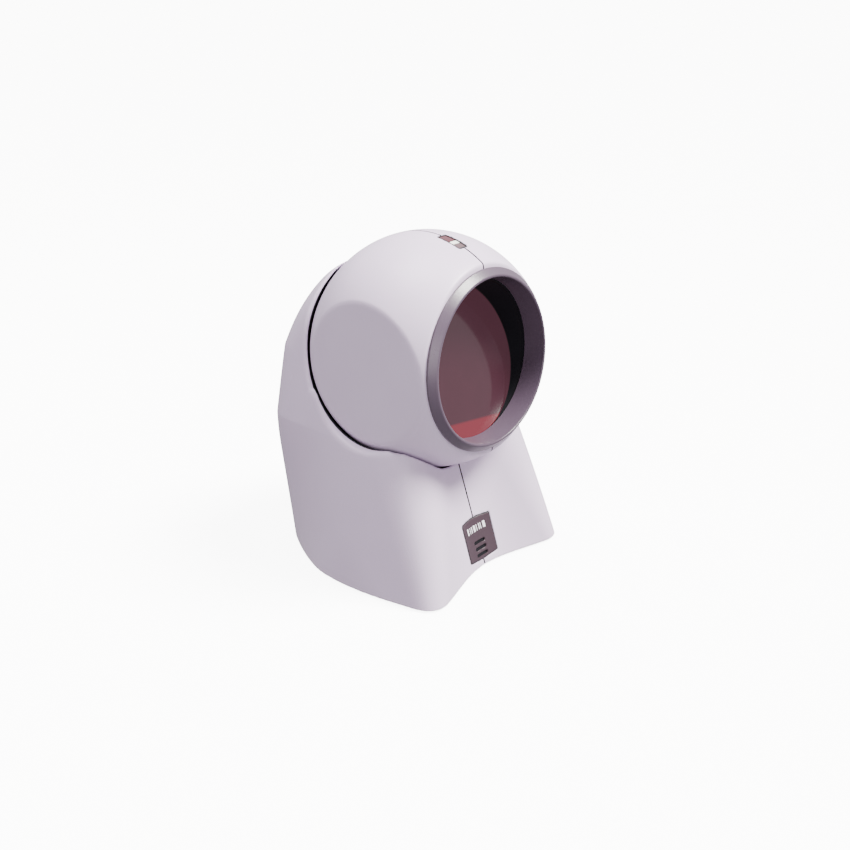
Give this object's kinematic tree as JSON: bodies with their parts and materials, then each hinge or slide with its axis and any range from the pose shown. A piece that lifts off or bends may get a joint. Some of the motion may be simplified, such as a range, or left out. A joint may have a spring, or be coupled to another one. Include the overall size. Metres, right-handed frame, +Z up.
{
  "type": "presentation barcode scanner",
  "caption": "Hands-free tabletop barcode scanner: a ball head with a ringed scan opening tilts in a hooded stand with a badge plate and speaker slots.",
  "frame": {"origin": "middle of the object's footprint, on the table", "axes": "+Z up, the scan opening faces -Y, +X is across, along the tilt axis"},
  "size_m": [0.1106, 0.1037, 0.15],
  "materials": {
    "body_plastic": "satin moulded plastic with a fine spark texture",
    "ring_plastic": "satin moulded plastic",
    "black_plastic": "matt black plastic",
    "badge_plastic": "satin plate",
    "red_acrylic": "clear red, polished",
    "lens_plastic": "clear tinted",
    "filter_red": "red filter",
    "rubber": "matt rubber",
    "mirror_glass": "front-silvered",
    "steel": "plated steel",
    "dark_metal": "dark coated metal",
    "brass": "knurled brass",
    "board": "circuit board",
    "chip": "moulded chip package",
    "lamp": "clear light chip"
  },
  "bodies": {
    "stand": {"stand_shell_left": "body_plastic", "stand_shell_right": "body_plastic", "floor_plate": "black_plastic", "badge_plate": "badge_plastic", "speaker": "dark_metal", "speaker_clip": "black_plastic", "floor_screws": "steel", "rubber_feet": "rubber", "threaded_inserts": "brass", "ballast": "dark_metal", "yoke": "steel", "yoke_screws": "steel", "interface_board": "board", "cable_socket": "black_plastic", "socket_contacts": "brass"},
    "head": {"head_shell_left": "body_plastic", "head_shell_right": "body_plastic", "bezel_ring": "ring_plastic", "scan_tunnel": "black_plastic", "optics_chassis": "black_plastic", "scan_window": "red_acrylic", "light_window": "lens_plastic", "detector_filter": "filter_red", "window_gasket": "rubber", "friction_washers": "rubber", "pattern_mirrors": "mirror_glass", "collector_mirror": "mirror_glass", "head_screws": "steel", "board_screws": "steel", "axle_pins": "steel", "spring_washers": "steel", "laser_module": "dark_metal", "motor_body": "dark_metal", "main_board": "board", "light_board": "board", "board_chips": "chip", "detector": "chip", "lights": "lamp"},
    "wheel": {"mirror_wheel": "mirror_glass", "wheel_shaft": "steel"}
  },
  "joints": [
    {"name": "head_tilt", "type": "hinge", "parent": "stand", "child": "head", "pos_m": [0, -0.00839, 0.0964], "axis": [-1, 0, 0], "range_deg": [-15, 15]},
    {"name": "wheel_spin", "type": "hinge", "parent": "head", "child": "wheel", "pos_m": [0, -0.00839, 0.0964], "axis": [0, -0.9963, 0.0854], "continuous": true}
  ]
}
